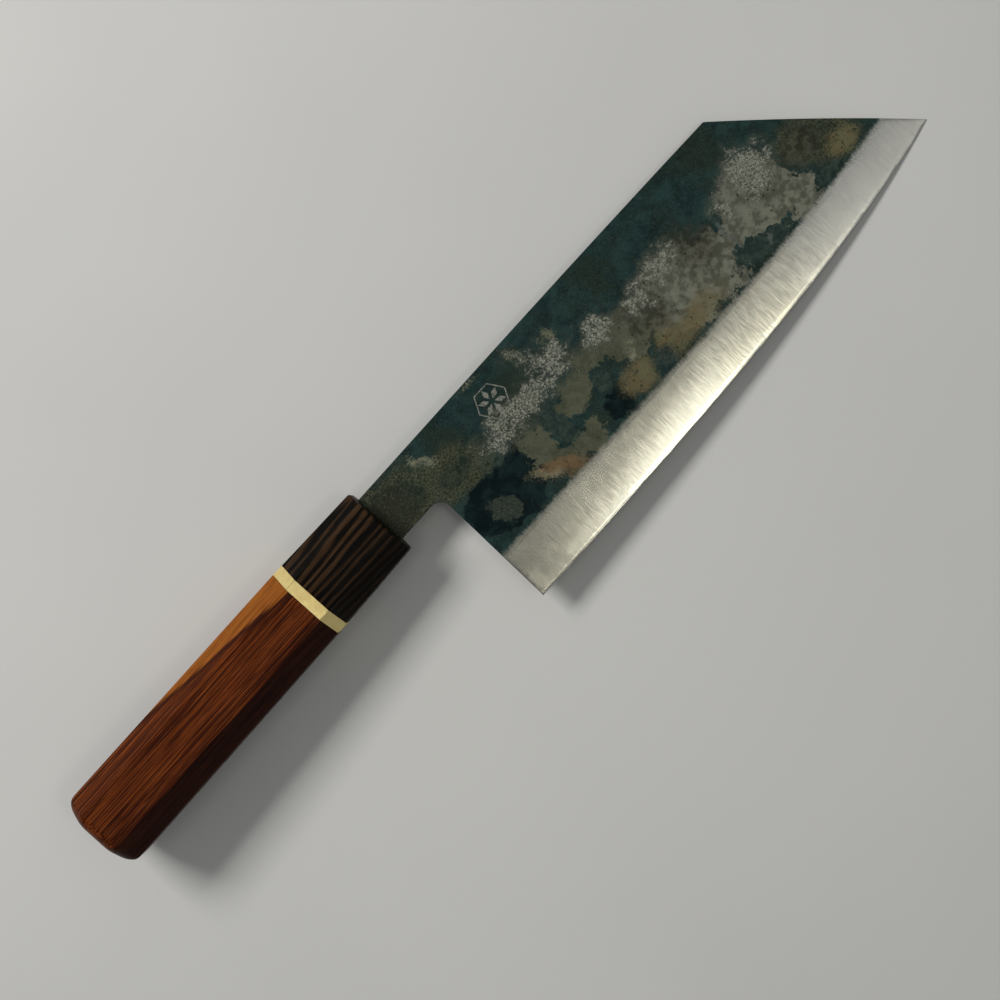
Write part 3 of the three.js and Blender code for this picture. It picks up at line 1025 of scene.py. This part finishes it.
def section(x):
    """Half width, half thickness and corner cut of the handle at a place along it."""
    if x > WIDENS_X:
        return tuple(blend(a, b, x / WIDENS_X) for a, b in zip(FRONT, SPACER_BACK))
    share = (x - WIDENS_X) / (BUTT_X - WIDENS_X)
    return tuple(blend(a, b, share) for a, b in zip(SPACER_BACK, BUTT))


def octagon(x, inset=0.0, arris=ARRIS):
    width, thick, cut = section(x)
    width -= inset
    thick -= inset
    cut -= inset * (2 - math.sqrt(2))
    arris = min(arris, 1.6 * cut)  # so that neighbouring arcs never cross
    quarter = [(width, thick - cut), (width - cut, thick)]
    corners = quarter + [(-y, z) for y, z in quarter[::-1]]
    corners += [(-y, -z) for y, z in corners]
    ring = []
    for number, (y, z) in enumerate(corners):
        middle = math.radians(45 * number + 22.5)
        back = arris / math.cos(math.radians(22.5))
        for step in range(ARC_STEPS):
            turn = math.radians(45 * (number + step / (ARC_STEPS - 1)))
            ring.append((x, y - back * math.cos(middle) + arris * math.cos(turn),
                         z - back * math.sin(middle) + arris * math.sin(turn)))
    return ring


RING_POINTS = 8 * ARC_STEPS


def circle(x, radius):
    turns = [math.radians(360 * (number + 0.5) / RING_POINTS) for number in range(RING_POINTS)]
    return [(x, radius * math.cos(turn), radius * math.sin(turn)) for turn in turns]


def slot_ring(x, low, high, half, corner):
    """A rounded rectangle from y low to y high, half thick each way."""
    ring = []
    middles = [(high - corner, half - corner), (low + corner, half - corner),
               (low + corner, corner - half), (high - corner, corner - half)]
    per_corner = RING_POINTS // 4
    for number, (y, z) in enumerate(middles):
        for step in range(per_corner):
            turn = math.radians(90 * (number + step / (per_corner - 1)))
            ring.append((x, y + corner * math.cos(turn), z + corner * math.sin(turn)))
    return ring


print("handle across the front", 2 * FRONT[0], "x", 2 * FRONT[1], "mm; butt", 2 * BUTT[0], "x", 2 * BUTT[1])

# %% [markdown]
# ## The ferrule
# The ferrule keeps the handle from splitting. It is bored from behind for the dowel, and a slot through its
# front wall takes the neck. The skin is lofted in one go: over the outside, round the eased front, in through
# the slot, out into the bore and back to the start, so the piece is closed without any cutting.

# %% Shape the ferrule
FRONT_EASE = 0.8
SLOT_ROOM = 0.45
SLOT_EASE = 0.12
SLOT_CORNER = 0.5
TANG_ROOM = (5.8, 1.8)  # half height, half thickness
SLOT_STEP_X = -4.6
BORE_FRONT_X = -6.0
BORE_RADIUS = 6.7
NECK_HALF = 1.5


def neck_slot(x, room):
    return slot_ring(x, NECK_BOTTOM - room, NECK_TOP + room, NECK_HALF + room, SLOT_CORNER)


ferrule_rings = [octagon(FERRULE_BACK_X)]
ferrule_rings += [octagon(x) for x in (-20.0, -12.0, -5.0)]
for turn in (0, 22.5, 45, 67.5, 90):
    bow = math.radians(turn)
    ferrule_rings.append(octagon(FRONT_EASE * (math.sin(bow) - 1), FRONT_EASE * (1 - math.cos(bow))))
ferrule_rings += [neck_slot(0.0, SLOT_ROOM + SLOT_EASE), neck_slot(-SLOT_EASE, SLOT_ROOM)]
ferrule_rings += [neck_slot(SLOT_STEP_X, SLOT_ROOM)]
ferrule_rings += [slot_ring(x, -TANG_ROOM[0], *TANG_ROOM, SLOT_CORNER) for x in (SLOT_STEP_X, BORE_FRONT_X)]
ferrule_rings += [circle(BORE_FRONT_X, BORE_RADIUS), circle(FERRULE_BACK_X, BORE_RADIUS)]
ferrule_skin = loft(ferrule_rings, "joined")
print("ferrule rings:", len(ferrule_rings))

# %% [markdown]
# ## Striped dark wood
# The ferrule is nearly black wood with brown stripes, cut so that the stripes run along the handle. Such
# stripes are growth layers seen from the side: bands across the wood, a little wavy, of uneven width.
# A sine wave across the wood gives evenly spaced stripes, which alone would look printed. So slow noise
# bends it, and two noises that follow the layers make some stripes wide and dark and others thin.

# %% Mix the striped wood
STRIPE = 2.3  # how far apart the brown stripes are
STRIPE_START = 0.35  # where the first one lies, in stripes

striped = Finish("striped_dark_wood", Specular_IOR_Level=0.07)
slow = striped.grain((0.020, 0.22, 0.22), 3)
x_s, y_s, z_s = striped.axes()
fan = striped.sum("MULTIPLY_ADD", x_s, -0.007, 0.9)
layered = striped.sum("MULTIPLY_ADD", z_s, 0.28, striped.sum("MULTIPLY", y_s, fan))
layered = striped.push(layered, slow, 4.5)
turns = striped.sum("MULTIPLY_ADD", layered, 2 * math.pi / STRIPE, STRIPE_START * 2 * math.pi)
swing = striped.sum("SINE", turns)
stripe_line = striped.nodes.new("ShaderNodeCombineXYZ")
striped.feed(stripe_line.inputs[0], layered)
wide_bands = striped.noise(0.22, detail=2, rough=0.6, place=stripe_line.outputs[0])
thin_bands = striped.noise(2.2, detail=3, rough=0.6, place=stripe_line.outputs[0])
swing = striped.push(swing, wide_bands, 4.0)
swing = striped.push(swing, thin_bands, 2.4)
brown_bands = striped.rise(swing, -0.6, 1.5)
# Painted shade: the brown stripes fade towards the ferrule's lower side.
brown_bands = striped.sum("MULTIPLY", brown_bands, striped.rise(y_s, -8.0, 5.0, 0.45, 1.0))
fibres = striped.grain((0.22, 5.0, 5.0), 4, 0.6)
black_wood = striped.shade(fibres, 0.35, 0.65, (0.0016, 0.0013, 0.0010), (0.0045, 0.0032, 0.0022))
brown_wood = striped.shade(fibres, 0.30, 0.70, (0.028, 0.014, 0.0065), (0.066, 0.035, 0.016))
striped.set("Base Color", striped.mix(brown_bands, black_wood, brown_wood))
pores = striped.grain((0.35, 7.0, 7.0), 2, 0.5)
open_pores = striped.rise(pores, 0.62, 0.72)
striped.set("Roughness", striped.rise(open_pores, 0, 1, 0.42, 0.6))
striped.set("Normal", striped.bump(striped.sum("SUBTRACT", fibres, open_pores), 0.015))
make_piece("ferrule_wood", ferrule_skin, striped, "ferrule")

# %% [markdown]
# ## The spacer
# A thin plate of brass sits between ferrule and body and was sanded flush with them. It is a ring round the
# dowel. The edges are eased by a tenth of a millimetre, which leaves the fine dark joint lines that a
# real handle shows. Sanding leaves faint scratches round the section, and fingers leave it a little dull.

# %% Shape and finish the spacer
SPACER_EASE = 0.1
spacer_rings = [
    octagon(SPACER_BACK_X, SPACER_EASE), octagon(SPACER_BACK_X + SPACER_EASE),
    octagon(SPACER_FRONT_X - SPACER_EASE), octagon(SPACER_FRONT_X, SPACER_EASE),
    circle(SPACER_FRONT_X, BORE_RADIUS), circle(SPACER_BACK_X, BORE_RADIUS),
]
spacer_skin = loft(spacer_rings, "joined")

brass = Finish("satin_brass", Metallic=0.6, Specular_IOR_Level=0.5)
sanding = brass.grain((7.0, 0.4, 0.4), 3, 0.6)
tarnish = brass.noise(0.5, detail=4, rough=0.6)
brass_tone = brass.shade(tarnish, 0.35, 0.70, (1.0, 0.79, 0.31), (0.94, 0.69, 0.25))
brass_tone = brass.shade(sanding, 0.35, 0.65, brass_tone, (1.0, 0.88, 0.50), 0.35)
brass.set("Base Color", brass_tone)
brass.set("Roughness", brass.rise(tarnish, 0.3, 0.7, 0.34, 0.46))
brass.set("Normal", brass.bump(sanding, 0.01))
make_piece("spacer_ring", spacer_skin, brass, "spacer")

# %% [markdown]
# ## The handle's body
# The body widens gently towards the butt, and the butt is domed so that it sits well in the palm. The dome is
# a rounded profile: the corner turns quickly, then runs almost flat across the end. The same formula
# gives how far each ring is drawn in and how far it stands from the end. The bore for the dowel is blind.

# %% Shape the body
CROWN_DEPTH = 5.4
CROWN_WIDTH = 12.0
CROWN_SHAPE = 2.6
CROWN_ARRIS = 4.5  # the sides' edges are rounded much more on the dome
BORE_END_X = -105.0

body_rings = [circle(BORE_END_X, BORE_RADIUS), circle(BODY_FRONT_X, BORE_RADIUS)]
body_rings += [octagon(BODY_FRONT_X, 0.12), octagon(BODY_FRONT_X - 0.12)]
body_rings += [octagon(x) for x in (-45.0, -60.0, -75.0, -90.0, -105.0)]
CROWN_RINGS = 14
for number in range(CROWN_RINGS):
    turn = math.radians(82 * number / (CROWN_RINGS - 1))
    inset = CROWN_WIDTH * (1 - math.cos(turn) ** (2 / CROWN_SHAPE))
    from_end = CROWN_DEPTH * (1 - math.sin(turn) ** (2 / CROWN_SHAPE))
    body_rings.append(octagon(BUTT_X + from_end, inset, blend(ARRIS, CROWN_ARRIS, number / 5)))
body_skin = loft(body_rings)
print("body rings:", len(body_rings))

# %% [markdown]
# ## Red-brown wood
# The body's wood is red-brown, with fine dark pores like pencil strokes along it, darker growth lines, and a
# wedge of orange wood along one upper edge where the plank came near the bark. Growth rings are
# cylinders round the tree's heart, far below the handle, so the distance to that far axis, bent by noise,
# gives lines that stay straight along the flats and swing apart over the corners.

# %% Mix the body's growth lines
red = Finish("red_brown_wood", Specular_IOR_Level=0.08)
x_r, y_r, z_r = red.axes()
drift = red.grain((0.012, 0.10, 0.10), 3)
heart_y = red.sum("ADD", y_r, 38.0)
heart_z = red.sum("SUBTRACT", z_r, 20.0)
from_heart = red.sum("SQRT", red.sum("MULTIPLY_ADD", heart_y, heart_y, red.sum("MULTIPLY", heart_z, heart_z)))
from_heart = red.sum("MULTIPLY_ADD", x_r, 0.018, from_heart)
from_heart = red.push(from_heart, drift, 7.0)
ring_line = red.nodes.new("ShaderNodeCombineXYZ")
red.feed(ring_line.inputs[0], from_heart)
red.feed(ring_line.inputs[1], red.sum("MULTIPLY", x_r, 0.004))
growth = red.noise(0.55, detail=4, rough=0.62, place=ring_line.outputs[0])
hairlines = red.noise(3.0, detail=2, rough=0.5, place=ring_line.outputs[0])
fibres = red.grain((0.055, 3.0, 3.0), 3, 0.6)
streaks = red.grain((0.020, 2.0, 2.0), 4, 0.62)
threads = red.grain((0.032, 4.2, 5.0), 2, 0.5)
pores = red.grain((0.16, 6.5, 6.5), 2, 0.5)
print("wood nodes so far:", len(red.nodes))

# %% Colour the body
wood = red.shade(growth, 0.38, 0.60, (0.060, 0.0100, 0.0016), (0.128, 0.027, 0.0040))
wood = red.shade(fibres, 0.48, 0.57, wood, (0.215, 0.052, 0.0100), 0.80)
wood = red.shade(streaks, 0.52, 0.57, wood, (0.024, 0.0040, 0.0010), 0.85)
wood = red.shade(threads, 0.54, 0.59, wood, (0.018, 0.0034, 0.0010), 0.85)
dark_lines = red.sum("MULTIPLY", red.rise(hairlines, 0.53, 0.62), red.rise(growth, 0.62, 0.42))
wood = red.mix(red.sum("MULTIPLY", dark_lines, 0.75), wood, (0.014, 0.0036, 0.0014))
# Painted shade: the body's wood is darker on its lower side, along a border bent by the growth lines.
painted_shade_below = red.rise(red.push(y_r, growth, 7.0), -4.6, -8.4)
wood = red.mix(red.sum("MULTIPLY", painted_shade_below, 0.78), wood, (0.012, 0.0018, 0.0010))

WEDGE_START = 5.5  # the orange wedge's lower border where it leaves the spacer
WEDGE_SLOPE = 0.135  # how fast that border climbs towards the butt
wedge = red.sum("MULTIPLY_ADD", x_r, WEDGE_SLOPE, 32 * WEDGE_SLOPE - WEDGE_START)
wedge = red.sum("ADD", wedge, y_r)
wedge = red.push(wedge, streaks, 4.0)
wedge = red.push(wedge, drift, 2.0)
sapwood = red.shade(fibres, 0.38, 0.62, (0.200, 0.056, 0.0080), (0.310, 0.102, 0.0150))
sapwood = red.shade(threads, 0.56, 0.64, sapwood, (0.090, 0.022, 0.0040), 0.6)
under_wedge = red.sum("MULTIPLY", red.rise(wedge, -1.8, -0.8), red.rise(wedge, 0.4, -0.1))
wood = red.mix(red.sum("MULTIPLY", under_wedge, 0.8), wood, (0.024, 0.0050, 0.0020))
wood = red.shade(wedge, -0.3, 0.5, wood, sapwood)

open_pores = red.rise(pores, 0.60, 0.69)
wood = red.mix(red.sum("MULTIPLY", open_pores, 0.55), wood, (0.018, 0.004, 0.0015))
red.set("Base Color", wood)
red.set("Roughness", red.rise(open_pores, 0, 1, 0.42, 0.62))
red.set("Normal", red.bump(red.sum("SUBTRACT", fibres, open_pores), 0.02))
make_piece("handle_wood", body_skin, red, "handle_body")

# %% [markdown]
# ## The bead in the mouth
# Resin fills the slot round the neck, so that no water gets in. It is poured last and wiped with a finger,
# which leaves it hollow between the wood and the steel. The ring of rings goes down the slot's wall,
# back along the neck and closes on itself.

# %% Pour the bead
BEAD_DEPTH = 2.5
NECK_GAP = 0.03
bead_rings = [neck_slot(-BEAD_DEPTH, SLOT_ROOM - 0.02)]
bead_rings += [neck_slot(-0.16, SLOT_ROOM - 0.02), neck_slot(-0.24, 0.36), neck_slot(-0.30, 0.24)]
bead_rings += [neck_slot(-0.20, 0.12), neck_slot(0.05, NECK_GAP), neck_slot(-BEAD_DEPTH, NECK_GAP)]
bead_skin = loft(bead_rings, "joined")

resin = Finish("dark_mouth_resin", Specular_IOR_Level=0.45)
dust = resin.noise(1.2, detail=4, rough=0.6)
resin.set("Base Color", resin.shade(dust, 0.4, 0.7, (0.006, 0.005, 0.004), (0.020, 0.017, 0.013)))
resin.set("Roughness", resin.rise(dust, 0.3, 0.7, 0.32, 0.5))
resin.set("Normal", resin.bump(dust, 0.02))
make_piece("mouth_bead", bead_skin, resin, "mouth_seal")

# %% [markdown]
# ## Inside the handle
# The dowel and the bedding round the tang are hidden, but they are there. Their CAD shapes are right, so they
# stay as they are and only get a finish: pale straight-grained wood with open pores, and a cloudy resin
# with small bubbles.

# %% Finish the hidden pieces
pale_wood = Finish("pale_dowel_wood", Specular_IOR_Level=0.3)
grain = pale_wood.grain((0.06, 1.6, 1.6), 4, 0.6)
flecks = pale_wood.grain((0.4, 5.0, 5.0), 2)
pale_tone = pale_wood.shade(grain, 0.35, 0.65, (0.46, 0.30, 0.15), (0.62, 0.44, 0.25))
fleck_share = pale_wood.rise(flecks, 0.60, 0.70, 0, 0.5)
pale_wood.set("Base Color", pale_wood.mix(fleck_share, pale_tone, (0.26, 0.15, 0.07)))
pale_wood.set("Roughness", pale_wood.rise(flecks, 0.3, 0.7, 0.6, 0.8))
pale_wood.set("Normal", pale_wood.bump(grain, 0.03))

cloudy = Finish("cloudy_bedding_resin", Specular_IOR_Level=0.4)
haze = cloudy.noise(0.4, detail=4, rough=0.6)
bubbles = cloudy.rise(cloudy.cells(1.1), 0.08, 0.2, 1, 0)
resin_tone = cloudy.shade(haze, 0.35, 0.65, (0.22, 0.19, 0.14), (0.33, 0.30, 0.23))
cloudy.set("Base Color", cloudy.mix(cloudy.sum("MULTIPLY", bubbles, 0.4), resin_tone, (0.12, 0.10, 0.07)))
cloudy.set("Roughness", cloudy.rise(haze, 0.3, 0.7, 0.35, 0.55))
cloudy.set("Normal", cloudy.bump(bubbles, 0.05))

for node, finish in (("dowel", pale_wood), ("tang_bedding", cloudy)):
    mesh = frame["nodes"][node].data
    mesh.materials.clear()
    mesh.materials.append(finish.material)
    print(node, "finished with", finish.material.name)
